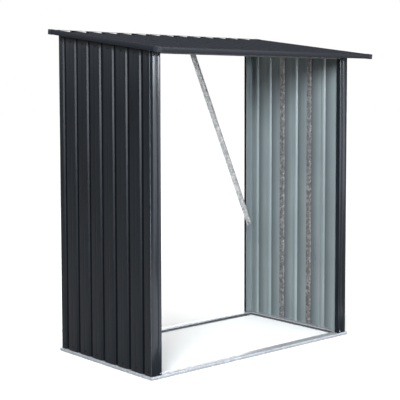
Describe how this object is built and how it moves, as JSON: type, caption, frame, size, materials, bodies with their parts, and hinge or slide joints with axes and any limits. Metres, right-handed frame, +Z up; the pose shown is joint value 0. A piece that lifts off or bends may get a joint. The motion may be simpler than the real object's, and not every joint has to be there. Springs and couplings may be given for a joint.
{
  "type": "log store",
  "caption": "Open metal log store with ribbed side walls, a pent roof that falls to the front, an open front and a braced open back.",
  "frame": {"origin": "on the ground under the middle of the roof's outline", "axes": "+X along the front to the right, +Y towards the high open back, +Z up"},
  "size_m": [1.767, 1.0522, 1.9734],
  "materials": {
    "coated_sheet": "satin anthracite coil coating on ribbed steel sheet, light grey on the inside",
    "coated_trim": "satin anthracite coating on folded steel",
    "galvanised": "dull hot-dip zinc with a fine spangle",
    "cap_plastic": "moulded dark grey corner caps"
  },
  "bodies": {
    "root": {"base_rail_front": "galvanised", "base_rail_back": "galvanised", "base_rail_left": "galvanised", "base_rail_right": "galvanised", "corner_post_front_left": "coated_sheet", "corner_post_front_right": "coated_sheet", "corner_post_back_left": "coated_sheet", "corner_post_back_right": "coated_sheet", "wall_sheet_left_front": "coated_sheet", "wall_sheet_left_back": "coated_sheet", "wall_sheet_right_front": "coated_sheet", "wall_sheet_right_back": "coated_sheet", "wall_stud_left_front": "galvanised", "wall_stud_left_back": "galvanised", "wall_stud_right_front": "galvanised", "wall_stud_right_back": "galvanised", "side_top_rail_left": "galvanised", "side_top_rail_right": "galvanised", "top_rail_front": "galvanised", "top_rail_back": "galvanised", "roof_purlin_front": "galvanised", "roof_purlin_back": "galvanised", "rear_brace_left": "galvanised", "rear_brace_right": "galvanised", "roof_sheet_left": "coated_sheet", "roof_sheet_middle": "coated_sheet", "roof_sheet_right": "coated_sheet", "roof_trim_front": "coated_trim", "roof_trim_back": "coated_trim", "roof_trim_left": "coated_trim", "roof_trim_right": "coated_trim", "trim_cap_front_left": "cap_plastic", "trim_cap_front_right": "cap_plastic", "trim_cap_back_left": "cap_plastic", "trim_cap_back_right": "cap_plastic"}
  },
  "joints": []
}
